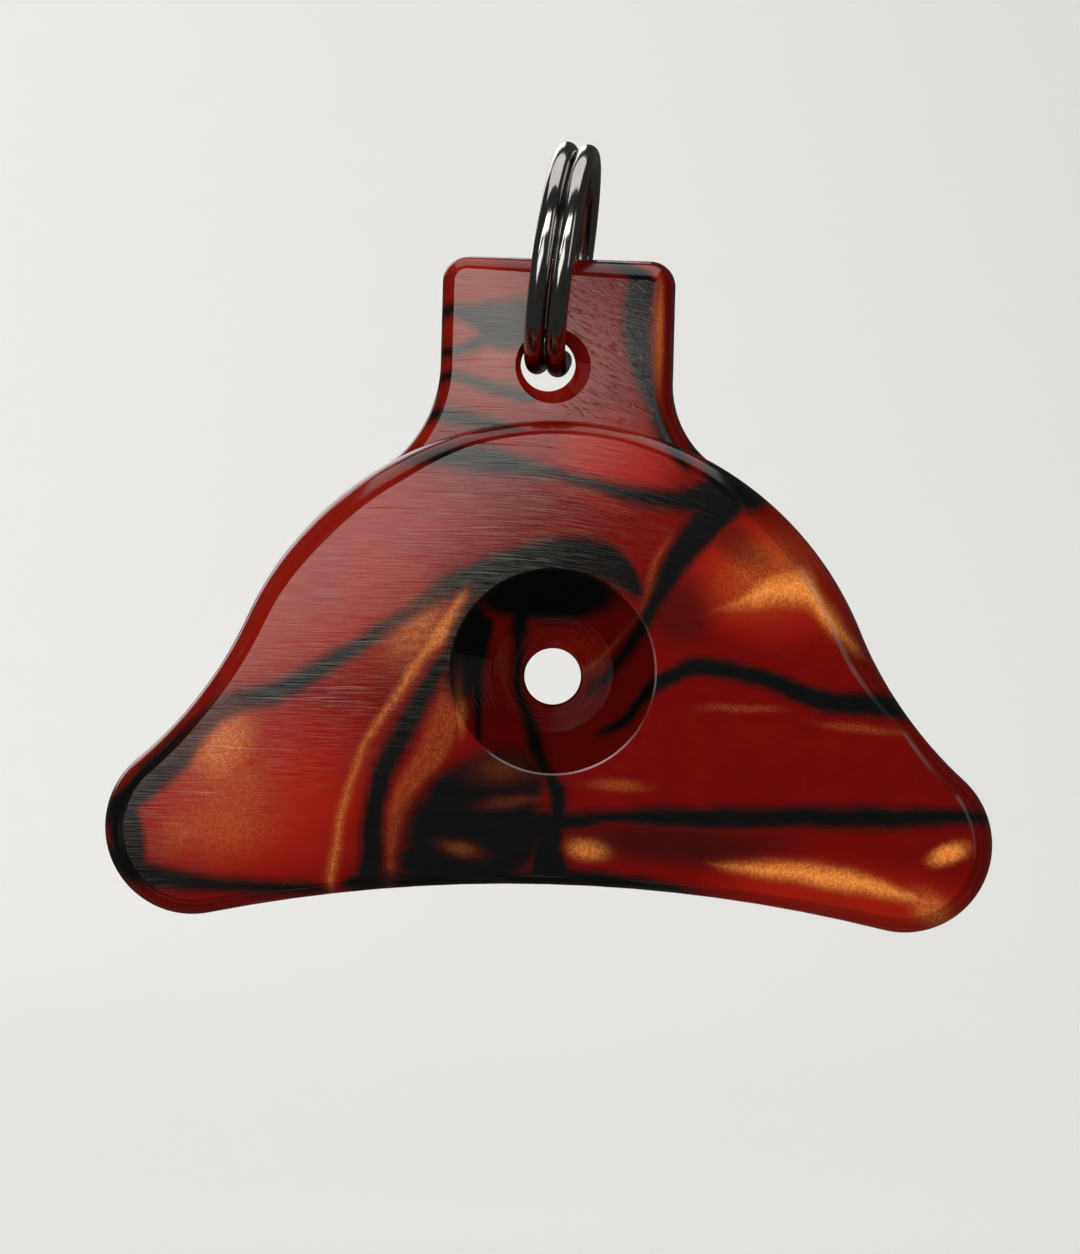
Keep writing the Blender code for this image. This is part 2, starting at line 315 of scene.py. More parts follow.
def combine(item, operation, mesh):
    """Applies a Boolean to item with a mesh that is then thrown away."""
    other = add_object("cutter", mesh)
    boolean = item.modifiers.new("boolean", "BOOLEAN")
    boolean.operation = operation
    boolean.object = other
    bpy.context.view_layer.update()
    graph = bpy.context.evaluated_depsgraph_get()
    made = bpy.data.meshes.new_from_object(item.evaluated_get(graph))
    item.modifiers.clear()
    item.data = made
    bpy.data.objects.remove(other, do_unlink=True)


# ---------------------------------------------------------------- whistle

def dish_profile():
    """The dish's cutter: a shallow chamfer, a conical wall with fine turning grooves, a floor."""
    profile = [(0.0, -CUT_CLEAR), (DISH_R + DISH_LIP, -CUT_CLEAR), (DISH_R + DISH_LIP, 0.0)]
    steps = GROOVES * GROOVE_STEPS
    for i in range(steps + 1):
        share = i / steps
        ripple = GROOVE_DEPTH * (1.0 - math.cos(2 * math.pi * GROOVES * share)) / 2
        radius = DISH_R + (DISH_FLOOR_R - DISH_R) * share
        depth = DISH_LIP_DEPTH + (DISH_WALL_DEPTH - DISH_LIP_DEPTH) * share
        profile.append((radius, depth - ripple))
    profile += [(DISH_FLOOR_R - DISH_FOOT_IN, DISH_WALL_DEPTH + DISH_FOOT_DOWN),
                (AIR_HOLE_R / 2, DISH_DEPTH), (0.0, DISH_DEPTH)]
    return profile


def air_hole_profile():
    floor = DISH_DEPTH - AIR_HOLE_RISE
    wide = AIR_HOLE_R + AIR_HOLE_LIP
    return [(0.0, -CUT_CLEAR), (wide, -CUT_CLEAR), (wide, floor), (AIR_HOLE_R, floor + AIR_HOLE_LIP),
            (AIR_HOLE_R, BODY_T - floor - AIR_HOLE_LIP), (wide, BODY_T - floor),
            (wide, BODY_T + CUT_CLEAR), (0.0, BODY_T + CUT_CLEAR)]


def ring_hole_mesh():
    """The straight hole and its two countersinks, in one cutter."""
    hole = (RING_HOLE_X, RING_HOLE_Z, RING_HOLE_R)
    sink = (RING_SINK_X, RING_SINK_Z, RING_SINK_R)
    face = TAB_T / 2
    floor = face - RING_SINK_DEPTH
    sections = [(sink, -face - CUT_CLEAR), (sink, -face), (hole, -floor),
                (hole, floor), (sink, face), (sink, face + CUT_CLEAR)]

    def build(shape):
        bridge(shape, [circle(shape, x, y, z, radius) for (x, z, radius), y in sections])

    return mesh_from("ring_hole", build)


def body_edge(x, z):
    bearings, widths = zip(*EDGE_WIDTHS)
    return float(np.interp(math.degrees(math.atan2(z, x)), bearings, widths, period=360.0))


def tab_edge(x, _):
    share = min(1.0, max(0.0, (x + TAB_LEFT) / (TAB_LEFT + TAB_RIGHT)))
    return TAB_EDGE_LEFT + (TAB_EDGE_RIGHT - TAB_EDGE_LEFT) * share


def round_slot_lips(item):
    """Softens the two long edges where the slot opens in the mouth edge."""
    shape = bmesh.new()
    shape.from_mesh(item.data)
    lips = []
    for edge in shape.edges:
        a, b = (v.co / MM for v in edge.verts)
        level = all(abs(abs(p.y) - SLOT_T / 2) < TOUCH for p in (a, b))
        outside = any(f.normal.z < -0.5 and abs(f.normal.y) < 0.3 for f in edge.link_faces)
        if level and outside and max(a.z, b.z) < MOUTH_Z + 0.2:
            lips.append(edge)
    bmesh.ops.bevel(shape, geom=lips, offset=SLOT_LIP * MM, segments=LIP_SEGMENTS,
                    profile=0.5, affect="EDGES", clamp_overlap=True)
    shape.to_mesh(item.data)
    shape.free()


BRUSHED, SATIN, POLISHED, DRILLED = range(4)


def finish_of(face):
    """Brushed on the flat outer faces, polished in the dish and the air hole, drilled in the ring
    hole, and satin on the edges and in the cavity."""
    x, y, z = face.center / MM
    outside = abs(y) > TAB_T / 2 - TOUCH and abs(abs(y) - SLOT_T / 2) > TOUCH
    if abs(face.normal.y) > LEVEL and outside:
        return BRUSHED
    if math.hypot(x, z) < DISH_R:
        return POLISHED
    if math.hypot(x - RING_SINK_X, z - RING_SINK_Z) < RING_SINK_R:
        return DRILLED
    return SATIN


def sharpen_dish_lip(mesh):
    """Keeps the narrow chamfer round the dish flat, so that it catches the light as one line."""
    for edge in mesh.edges:
        radii = [math.hypot(*mesh.vertices[i].co.xz) / MM for i in edge.vertices]
        if any(all(abs(r - ring) < TOUCH for r in radii) for ring in (DISH_R, DISH_R + DISH_LIP)):
            edge.use_edge_sharp = True


def make_whistle(materials):
    """materials are in the order of the finishes."""
    whistle = add_object("whistle", plate_mesh("whistle", whistle_outline(), BODY_T, body_edge))
    tab = add_object("tab", plate_mesh("tab", tab_outline(), TAB_T, tab_edge))
    combine(tab, "DIFFERENCE", ring_hole_mesh())
    combine(whistle, "DIFFERENCE", plate_mesh("cavity", cavity_outline(), SLOT_T))
    for facing in (-1, 1):
        face = (0.0, facing * BODY_T / 2, 0.0)
        combine(whistle, "DIFFERENCE", turned_mesh("dish", dish_profile(), face, facing))
    air_hole = (0.0, -BODY_T / 2, -AIR_HOLE_DROP)
    combine(whistle, "DIFFERENCE", turned_mesh("air_hole", air_hole_profile(), air_hole, -1))
    combine(whistle, "UNION", tab.data)
    bpy.data.objects.remove(tab, do_unlink=True)
    round_slot_lips(whistle)

    whistle.data.materials.clear()
    for material in materials:
        whistle.data.materials.append(material)
    for face in whistle.data.polygons:
        face.material_index = finish_of(face)
    whistle.data.shade_smooth()
    whistle.data.set_sharp_from_angle(angle=math.radians(WHISTLE_CREASE))
    sharpen_dish_lip(whistle.data)
    weighted = whistle.modifiers.new("flat_faces", "WEIGHTED_NORMAL")
    weighted.keep_sharp = True

    joint = frame["joints"][0]
    turn = Matrix.Rotation(math.radians(HANG_TILT), 4, "Y")
    from_hole = turn @ Vector((-RING_HOLE_X, 0.0, -RING_HOLE_Z)) * MM
    whistle.matrix_world = Matrix.Translation(Vector(joint["pos_m"]) + from_hole) @ turn
    return whistle


# ---------------------------------------------------------------- split ring

def coil_point(turn):
    """Wire's centre in the ring's own axes, turn degrees along it from where it changes coil."""
    share = min(1.0, max(-1.0, turn / CROSS_HALF))
    radius = (RING_OD - WIRE_D) / 2
    angle = math.radians(CROSS_AT + turn)
    offset = COIL_PITCH / 2 * math.sin(share * math.pi / 2)
    return Vector((offset, radius * math.cos(angle), radius * math.sin(angle)))


def make_split_ring(material):
    reach = 360.0 - CROSS_HALF - END_GAP
    count = round(2 * WIRE_POINTS_PER_TURN * reach / 360.0)
    turns = [-reach + 2 * reach * i / count for i in range(count + 1)]
    centres = [coil_point(t) for t in turns]
    radii = WIRE_END + [1.0] * (count + 1 - 2 * len(WIRE_END)) + WIRE_END[::-1]
    wire = []

    def build(shape):
        rings = []
        for i, centre in enumerate(centres):
            ahead = centres[min(i + 1, count)] - centres[max(i - 1, 0)]
            ahead.normalize()
            out = Vector((0.0, centre.y, centre.z)).normalized()
            side = ahead.cross(out).normalized()
            out = side.cross(ahead)
            ring = []
            for k in range(WIRE_SIDES):
                a = 2 * math.pi * k / WIRE_SIDES
                place = centre + (side * math.cos(a) + out * math.sin(a)) * (WIRE_D / 2 * radii[i])
                ring.append(shape.verts.new(place * MM))
                wire.append((math.cos(a), math.sin(a), math.radians(turns[i]) * RING_OD / 2))
            rings.append(ring)
        bridge(shape, rings)

    mesh = mesh_from("ring", build)
    along = mesh.attributes.new("wire", "FLOAT_VECTOR", "POINT")
    along.data.foreach_set("vector", np.array(wire, np.float32).ravel())
    mesh.shade_smooth()
    mesh.set_sharp_from_angle(angle=math.radians(RING_CREASE))
    mesh.materials.append(material)
    ring = add_object("ring", mesh)
    lean = Matrix.Rotation(math.radians(RING_LEAN), 4, "Y")
    yaw = Matrix.Rotation(-math.radians(RING_YAW), 4, "Z")
    centre = lean @ Vector((0.0, 0.0, WIRE_D - RING_OD / 2)) * MM
    ring.matrix_world = Matrix.Translation(centre) @ lean @ yaw
    return ring


# ---------------------------------------------------------------- node helpers

class Nodes:
    """Short calls for building a node tree. A value is a number, a tuple or a socket."""

    def __init__(self, tree):
        self.tree = tree

    def add(self, kind, out=0, inputs=None, **settings):
        node = self.tree.nodes.new(kind)
        for key, value in settings.items():
            setattr(node, key, value)
        for key, value in (inputs or {}).items():
            self.feed(node.inputs[key], value)
        return node.outputs[out]

    def feed(self, socket, value):
        if isinstance(value, bpy.types.NodeSocket):
            self.tree.links.new(value, socket)
        else:
            socket.default_value = value

    def math(self, operation, *values, clamp=False):
        node = self.tree.nodes.new("ShaderNodeMath")
        node.operation = operation
        node.use_clamp = clamp
        for socket, value in zip(node.inputs, values):
            self.feed(socket, value)
        return node.outputs[0]

    def vector(self, operation, *values, out=0):
        node = self.tree.nodes.new("ShaderNodeVectorMath")
        node.operation = operation
        for socket, value in zip(node.inputs, values):
            self.feed(socket, value)
        return node.outputs[out]

    def ramp(self, value, low, high, to_low=0.0, to_high=1.0):
        return self.add("ShaderNodeMapRange", interpolation_type="SMOOTHSTEP", inputs={
            "Value": value, "From Min": low, "From Max": high, "To Min": to_low, "To Max": to_high})

    def noise(self, place, scale, detail=2.0, rough=0.5, out="Fac"):
        return self.add("ShaderNodeTexNoise", out=out, inputs={
            "Vector": place, "Scale": scale, "Detail": detail, "Roughness": rough})

    def stretch(self, place, scale):
        return self.vector("MULTIPLY", place, scale)

    def mix(self, share, first, second):
        node = self.tree.nodes.new("ShaderNodeMix")
        node.data_type = "RGBA"
        for socket, value in zip((node.inputs[0], node.inputs[6], node.inputs[7]),
                                 (share, first, second)):
            self.feed(socket, value)
        return node.outputs[2]

    def curve(self, value, points):
        """A smooth curve through points, each between 0 and 1."""
        node = self.tree.nodes.new("ShaderNodeFloatCurve")
        line = node.mapping.curves[0]
        while len(line.points) < len(points):
            line.points.new(0.5, 0.5)
        for point, (x, y) in zip(line.points, points):
            point.location = (x, y)
            point.handle_type = "AUTO_CLAMPED"
        node.mapping.extend = "HORIZONTAL"
        node.mapping.update()
        self.feed(node.inputs["Value"], value)
        return node.outputs[0]


# ---------------------------------------------------------------- swirl

SPAN = 48.0               # places in the swirl's curves run from -SPAN / 2 to SPAN / 2
WIDEST = 8.0              # and half widths from -WIDEST / 2 to WIDEST / 2
SWIRL_CENTRE = (3.0, 0.0, -3.0)
SWIRL_TURN = 0.06         # radians for each mm of depth
SWIRL_DRIFT = (0.45, 0.0, -0.3)   # mm for each mm of depth
WAVES = [(0.16, 0.5), (0.7, 0.3)]   # (noise scale, reach in mm) of the waves that bend it

RED = (0.110, 0.0006, 0.0005, 1.0)
WARM_RED = (0.28, 0.009, 0.0015, 1.0)
GOLD = (0.24, 0.055, 0.010, 1.0)
# The brightest pearl gold, partly a painted sheen.
BRIGHT_GOLD_AND_SHEEN = (0.86, 0.28, 0.055, 1.0)
BLACK = (0.002, 0.002, 0.0022, 1.0)
BLACK_FLAKE = (0.014, 0.012, 0.008, 1.0)
# What the painted shade darkens the colour towards.
PAINTED_SHADE = (0.001, 0.001, 0.001, 1.0)
# The grey of scratched acrylic, also used for a painted sheen of grey haze at the upper left.
SCUFF_AND_SHEEN = (0.28, 0.25, 0.19, 1.0)

# Each vein or streak is (runs along, softness, [(place along, place across, half width), ...]).
# It stops where its half width falls below zero.
VEINS = [
    ("x", 0.45, [(-23.0, -8.2, 0.6), (-21.5, -7.2, 1.0), (-20.2, -5.9, 1.2), (-18.8, -4.6, 1.2),
                 (-17.6, -3.2, 1.0), (-16.3, -2.1, 0.7), (-14.0, -1.4, 0.6), (-12.0, -0.45, 0.62),
                 (-10.0, 0.95, 0.5), (-8.0, 2.4, 0.5), (-6.0, 3.75, 0.6), (-4.0, 4.8, 0.75),
                 (-2.0, 5.5, 0.95), (0.0, 5.8, 1.1), (2.0, 5.75, 1.1), (3.2, 5.3, 1.0),
                 (4.2, 4.4, 0.5), (5.2, 3.4, -0.8)]),
    ("x", 0.45, [(-9.5, 10.2, -0.7), (-6.5, 10.6, 0.4), (-4.0, 10.7, 0.7), (-2.0, 10.35, 0.5),
                 (0.0, 9.95, 0.35), (2.0, 9.4, 0.42), (4.0, 9.0, 0.5), (6.0, 8.8, 0.6),
                 (8.0, 9.1, 1.0), (9.5, 9.3, 1.0), (11.0, 9.6, 0.7)]),
    ("z", 0.45, [(-1.6, 1.7, -0.4), (-0.8, 2.2, 0.25), (0.0, 3.0, 0.4), (1.0, 3.7, 0.45),
                 (2.0, 4.3, 0.5), (3.2, 4.9, 0.55), (4.5, 5.5, 0.65), (6.0, 6.3, 0.85),
                 (7.0, 7.0, 1.1), (8.0, 7.8, 1.3), (9.0, 8.5, 1.5), (10.5, 9.5, 1.5)]),
    ("x", 0.32, [(1.4, -3.3, -0.5), (3.0, -2.8, 0.3), (4.0, -2.0, 0.4), (4.9, -0.85, 0.5),
                 (6.0, -0.1, 0.52), (7.5, 0.4, 0.52), (10.0, 0.0, 0.52), (12.0, -0.65, 0.55),
                 (14.0, -1.2, 0.6), (16.0, -1.35, 0.6), (18.0, -1.5, 0.6)]),
    ("x", 0.40, [(-2.5, -8.6, -0.6), (-1.0, -8.0, 0.9), (0.8, -7.65, 0.55), (3.0, -7.35, 0.42),
                 (6.0, -7.2, 0.58), (10.0, -7.15, 0.6), (15.0, -7.0, 0.6), (20.0, -6.8, 0.5),
                 (23.0, -6.7, 0.3)]),
    ("z", 0.40, [(-11.5, -9.2, 0.75), (-10.3, -9.0, 0.75), (-8.0, -8.9, 0.65), (-6.0, -8.6, 0.65),
                 (-4.0, -7.9, 0.65), (-2.0, -6.9, 0.6), (-0.3, -6.0, 0.55), (0.8, -5.4, 0.4),
                 (2.0, -4.9, -0.4)]),
    ("z", 0.35, [(-10.5, 0.2, 1.2), (-9.0, 0.0, 0.8), (-7.0, 0.35, 0.5), (-5.5, 0.0, 0.5),
                 (-4.5, -0.6, 0.5), (-3.0, -1.0, 0.42), (-1.0, -1.6, 0.3), (1.0, -1.75, 0.32),
                 (2.6, -1.7, 0.5), (3.6, -1.6, -0.5)]),
    ("z", 0.22, [(-4.2, -3.5, -0.3), (-3.4, -3.65, 0.15), (-1.5, -3.75, 0.25), (0.5, -3.75, 0.28),
                 (2.0, -3.6, 0.5), (3.0, -3.3, -0.4)]),
    ("x", 0.35, [(-11.0, -11.2, -0.5), (-9.0, -10.9, 0.6), (-5.0, -10.6, 0.55), (0.0, -10.5, 0.5),
                 (4.0, -10.6, 0.5), (7.0, -10.9, 0.2), (9.0, -11.3, -0.5)]),
    ("x", 0.40, [(-22.5, -9.8, 0.7), (-21.0, -10.5, 0.7), (-19.0, -11.0, 0.6), (-16.5, -11.2, 0.45),
                 (-14.0, -11.3, 0.4), (-12.0, -11.3, 0.35), (-10.5, -11.4, -0.3)]),
    ("x", 0.40, [(-7.0, 18.3, 0.3), (-5.6, 18.3, 0.35), (-4.4, 17.9, 0.7), (-3.2, 17.5, 1.3),
                 (-1.8, 17.6, 1.3), (-0.6, 18.0, 0.7), (0.4, 18.3, -0.5)]),
    ("x", 0.35, [(-7.0, 16.1, 0.25), (-5.6, 16.1, 0.3), (-4.4, 16.5, 0.35), (-3.2, 17.0, 0.5),
                 (-1.8, 17.0, 0.5), (-0.6, 17.0, -0.5)]),
    ("x", 0.35, [(-7.0, 14.85, 0.22), (-5.5, 14.8, 0.3), (-4.0, 14.45, 0.32), (-2.6, 14.1, 0.35),
                 (-1.6, 13.85, 0.3), (-0.6, 13.6, -0.5)]),
    ("x", 0.40, [(-8.5, 13.4, 0.3), (-6.3, 12.9, 0.4), (-4.5, 12.6, 0.4), (-2.6, 12.3, 0.25),
                 (-1.0, 12.1, -0.5)]),
    ("z", 0.40, [(9.5, 7.0, -0.8), (11.0, 6.0, 0.4), (12.0, 5.5, 0.5), (13.5, 4.9, 0.5),
                 (15.0, 4.4, 0.6), (16.5, 4.0, 0.7), (18.0, 3.9, 0.75), (21.0, 4.2, 0.8)]),
]
# Larger dark areas: (x, z, half width, half height, degrees, amount)
DARK_POOLS = [
    (-3.7, -8.3, 3.9, 2.9, 4.0, 1.0),
    (-3.3, -6.1, 3.3, 2.0, 20.0, 1.0),
    (-4.6, -9.8, 3.4, 1.4, 0.0, 1.0),
    (-0.6, 4.0, 4.0, 1.5, 0.0, 1.0),
    (-4.4, 1.0, 1.1, 2.8, -8.0, 1.0),
    (-21.3, -8.9, 0.9, 2.4, 12.0, 1.0),
    (8.9, 9.7, 1.9, 1.1, -38.0, 1.0),
    (6.0, -8.5, 5.5, 1.0, 0.0, 0.70),
    (6.4, 3.4, 1.7, 1.7, 20.0, 0.50),
    (9.0, 6.8, 2.0, 0.8, -35.0, 0.55),
]
# Pearl streaks and pools, where mica flakes line up and turn gold; their brightest gold is partly a
# painted sheen. A streak is a vein with an amount in front, and a pool is an oval as above.
STREAKS = [
    (0.55, "z", 0.50, [
        (-11.5, -11.0, 0.1), (-10.0, -10.9, 0.2), (-8.0, -10.6, 0.2), (-5.5, -10.0, 0.18),
        (-3.5, -9.2, 0.2), (-1.5, -8.0, 0.25), (0.5, -6.8, 0.4), (2.0, -5.6, 0.6),
        (3.4, -4.8, 0.4), (5.0, -4.3, -0.6)]),
    (0.27, "z", 0.50, [
        (-11.0, -8.1, 0.3), (-8.0, -7.75, 0.5), (-6.0, -7.1, 0.75), (-4.4, -6.1, 0.9),
        (-3.0, -5.6, 0.9), (-1.5, -5.2, 0.6), (0.0, -4.8, 0.25), (1.0, -4.7, -0.5)]),
    (0.85, "x", 0.60, [
        (7.0, -9.2, -0.8), (9.0, -9.5, 0.1), (12.0, -9.75, 0.45), (14.0, -10.0, 0.55),
        (16.0, -10.35, 0.5), (18.0, -10.9, 0.25), (20.0, -11.6, -0.1), (21.5, -12.2, -0.6)]),
    (0.28, "z", 0.32, [
        (-0.4, 1.1, -0.3), (0.2, 1.9, 0.2), (1.0, 2.7, 0.22), (2.0, 3.6, 0.15),
        (3.0, 4.3, 0.15), (4.2, 4.8, 0.3), (5.5, 5.0, 0.25), (7.0, 5.7, 0.1),
        (8.0, 6.1, -0.5)]),
    (0.95, "x", 1.10, [
        (6.0, 2.2, -0.9), (8.0, 3.3, -0.4), (9.5, 3.9, 0.2), (11.0, 4.5, 0.7),
        (12.5, 4.7, 0.8), (13.8, 3.3, 0.6), (15.0, 1.9, 0.2), (16.0, 0.8, -0.6)]),
]
POOLS = [
    (10.6, 5.2, 2.6, 2.0, 20.0, 0.35),
    (-16.6, -4.2, 1.6, 2.2, -25.0, 0.50),
    (-16.2, -6.2, 2.6, 2.6, 0.0, 0.30),
    (-7.0, 2.0, 2.2, 1.4, 48.0, 0.40),
    (-16.5, -8.0, 3.0, 2.0, 5.0, 0.30),
    (-18.6, -8.6, 1.6, 1.3, 30.0, 0.28),
    (20.2, -8.7, 1.0, 0.5, 25.0, 0.85),
    (19.3, -11.6, 1.3, 0.8, -35.0, 0.45),
    (2.0, -9.0, 1.1, 0.55, -5.0, 0.65),
    (-4.4, -9.0, 1.1, 0.45, -12.0, 0.45),
    (-2.1, -6.6, 1.5, 0.35, 5.0, 0.35),
    (-2.4, -4.9, 1.7, 0.8, 0.0, 0.35),
    (3.4, -5.7, 1.6, 0.35, 0.0, 0.30),
    (-2.6, 0.3, 0.35, 1.4, 8.0, 0.15),
    (-4.7, -1.6, 0.35, 1.6, 4.0, 0.50),
    (5.4, 17.2, 0.5, 2.8, 0.0, 0.55),
    (-3.2, 15.9, 1.2, 0.45, 8.0, 0.35),
    (9.6, -1.7, 2.2, 0.25, 0.0, 0.25),
    (15.6, -2.5, 2.4, 0.25, -5.0, 0.25),
]
# Where the red turns to orange: (x, z, half width, half height, degrees, amount)
WARM = [
    (-15.5, -6.0, 6.0, 4.6, 0.0, 0.68),
    (10.6, 5.0, 4.2, 2.8, -15.0, 0.65),
    (15.5, -11.6, 6.5, 2.0, -8.0, 0.65),
    (-12.5, 4.5, 8.0, 5.0, 40.0, 0.65),
    (2.6, 10.9, 3.0, 2.2, -10.0, 0.8),
    (-2.5, 17.0, 4.0, 6.0, 0.0, 0.5),
    (-4.6, 20.8, 2.4, 0.7, 0.0, 0.9),
    (-7.4, 12.2, 1.4, 1.0, 45.0, 0.9),
    (5.2, 17.0, 0.9, 4.5, 0.0, 0.8),
    (0.8, 0.8, 1.8, 1.2, 0.0, 0.4),
]


def band(n, axes, run):
    """A vein's or a streak's share at a point: 1 inside, 0 outside, and soft between."""
    direction, softness, stations = run
    along, across = axes if direction == "x" else (axes[1], axes[0])
    share = n.math("MULTIPLY_ADD", along, 1 / SPAN, 0.5)
    centre = n.curve(share, [(t / SPAN + 0.5, c / SPAN + 0.5) for t, c, _ in stations])
    half = n.curve(share, [(t / SPAN + 0.5, w / WIDEST + 0.5) for t, _, w in stations])
    centre = n.math("MULTIPLY_ADD", centre, SPAN, -SPAN / 2)
    half = n.math("MULTIPLY_ADD", half, WIDEST, -WIDEST / 2)
    away = n.math("ABSOLUTE", n.math("SUBTRACT", across, centre))
    return n.ramp(n.math("SUBTRACT", half, away), -softness, softness)


def pool(n, place, x, z, half_x, half_z, degrees, amount, soft=0.5):
    """A soft oval, amount at its middle and 0 outside."""
    inner = n.add("ShaderNodeMapping", vector_type="TEXTURE", inputs={
        "Vector": place, "Location": (x, 0.0, z), "Rotation": (0.0, -math.radians(degrees), 0.0),
        "Scale": (half_x, 1e4, half_z)})
    length = n.vector("LENGTH", inner, out="Value")
    return n.ramp(length, 1.0 + soft, 1.0 - soft, 0.0, amount)


def most(n, values):
    top = values[0]
    for value in values[1:]:
        top = n.math("MAXIMUM", top, value)
    return top


def swirl_group():
    """The acrylic's swirl as a function of place in the block: its colour and its share of pearl,
    with the place itself in mm."""
    tree = bpy.data.node_groups.new("swirl", "ShaderNodeTree")
    for name, kind in (("Color", "NodeSocketColor"), ("Pearl", "NodeSocketFloat"),
                       ("Place", "NodeSocketVector")):
        tree.interface.new_socket(name=name, in_out="OUTPUT", socket_type=kind)
    n = Nodes(tree)
    here = n.vector("SCALE", n.add("ShaderNodeTexCoord", out="Object"))
    here.node.inputs["Scale"].default_value = 1 / MM

    # Behind the tab's front face the whole swirl drifts and turns, so the back differs.
    y = n.add("ShaderNodeSeparateXYZ", out="Y", inputs={"Vector": here})
    depth = n.math("MAXIMUM", n.math("ADD", y, TAB_T / 2), 0.0)
    turned = n.add("ShaderNodeVectorRotate", rotation_type="Y_AXIS", inputs={
        "Vector": here, "Center": SWIRL_CENTRE, "Angle": n.math("MULTIPLY", depth, SWIRL_TURN)})
    drift = n.vector("SCALE", SWIRL_DRIFT)
    n.feed(drift.node.inputs["Scale"], depth)
    place = n.vector("ADD", turned, drift)
    for scale, reach in WAVES:
        wave = n.noise(here, scale, 1.0, out="Color")
        wave = n.vector("MULTIPLY", n.vector("SUBTRACT", wave, (0.5, 0.5, 0.5)), (reach,) * 3)
        place = n.vector("ADD", place, wave)
    apart = n.add("ShaderNodeSeparateXYZ", inputs={"Vector": place}).node
    axes = (apart.outputs["X"], apart.outputs["Z"])

    # A dark area in full has a firmer rim than a faint one.
    dark = most(n, [band(n, axes, vein) for vein in VEINS]
                + [pool(n, place, *spot, soft=0.25 if spot[-1] == 1.0 else 0.6)
                   for spot in DARK_POOLS])
    warm = most(n, [pool(n, place, *spot) for spot in WARM])
    pearl = most(n, [n.math("MULTIPLY", band(n, axes, streak[1:]), streak[0]) for streak in STREAKS]
                 + [pool(n, place, *spot, soft=0.8) for spot in POOLS])

    # Flakes are fine bright grains, and cloudy drifts of them thicken and thin.
    cloud = n.noise(place, 0.45, 4.0, 0.6)
    warm = n.math("ADD", warm, n.math("MULTIPLY", n.math("SUBTRACT", cloud, 0.5), 0.5), clamp=True)
    grain = n.noise(here, 9.0, 2.0, 0.7)
    flakes = n.ramp(grain, 0.34, 0.70)
    # The pearl's gold brightens with the flakes; the brightest of it is a painted sheen.
    pearl_and_sheen = n.math("MULTIPLY", pearl, n.math("MULTIPLY_ADD", flakes, 0.40, 0.62), clamp=True)

    red = n.mix(warm, RED, WARM_RED)
    gold = n.mix(pearl_and_sheen, GOLD, BRIGHT_GOLD_AND_SHEEN)
    colour = n.mix(n.ramp(pearl_and_sheen, 0.0, 0.7), red, gold)
    black = n.mix(n.ramp(grain, 0.62, 0.78), BLACK, BLACK_FLAKE)
    speckled = n.math("MULTIPLY", dark, n.math("SUBTRACT", 1.0, n.math("MULTIPLY", pearl, 0.6)))
    colour = n.mix(speckled, colour, black)
    pearl_left = n.math("MULTIPLY", pearl_and_sheen, n.math("SUBTRACT", 1.0, n.math("MULTIPLY", dark, 0.8)))

    end = tree.nodes.new("NodeGroupOutput")
    for name, value in (("Color", colour), ("Pearl", pearl_left), ("Place", here)):
        n.feed(end.inputs[name], value)
    return tree


# ---------------------------------------------------------------- materials

# Depths of the marks in each surface, in mm
BRUSH_DEPTH = 0.0016
GOUGE_DEPTH = 0.03
SATIN_DEPTH = 0.005
POLISH_DEPTH = 0.0015
WIRE_LINE_DEPTH = 0.004

NICKEL_DARK = (0.26, 0.25, 0.24, 1.0)
NICKEL_LIGHT = (0.42, 0.405, 0.385, 1.0)


def new_material(name):
    material = bpy.data.materials.new(name)
    material.use_nodes = True
    return material, Nodes(material.node_tree), material.node_tree.nodes["Principled BSDF"]


def acrylic(swirl, name, roughness, coat, coat_roughness, shade, surface):
    """The swirl under a finish, darkened by a painted shade: shade mixes its colour towards black,
    standing in for shade in the dish, the holes, on the edges and in the cavity.
    surface(n, place) gives a height in mm, a roughness change, and how much scuffing and a painted
    sheen of grey haze hide the colour."""
    material, n, shader = new_material(name)
    group = material.node_tree.nodes.new("ShaderNodeGroup")
    group.node_tree = swirl
    height, wear, scuff_and_sheen = surface(n, group.outputs["Place"])
    bump = n.add("ShaderNodeBump", inputs={"Height": height, "Distance": MM, "Strength": 1.0})
    rough = n.math("ADD", wear, roughness, clamp=True)
    # Painted shade first, then the grey of scuffing and painted sheen.
    colour = n.mix(shade, group.outputs["Color"], PAINTED_SHADE)
    colour = n.mix(scuff_and_sheen, colour, SCUFF_AND_SHEEN)
    for key, value in (("Base Color", colour), ("Roughness", rough),
                       ("Metallic", n.math("MULTIPLY", group.outputs["Pearl"], 0.25)),
                       ("Normal", bump), ("Coat Normal", bump), ("Coat Weight", coat),
                       ("Coat Roughness", coat_roughness), ("IOR", 1.49),
                       ("Specular IOR Level", 0.0), ("Subsurface Weight", 0.15),
                       ("Subsurface Scale", 0.0006), ("Subsurface Radius", (1.0, 0.25, 0.12))):
        n.feed(shader.inputs[key], value)
    return material


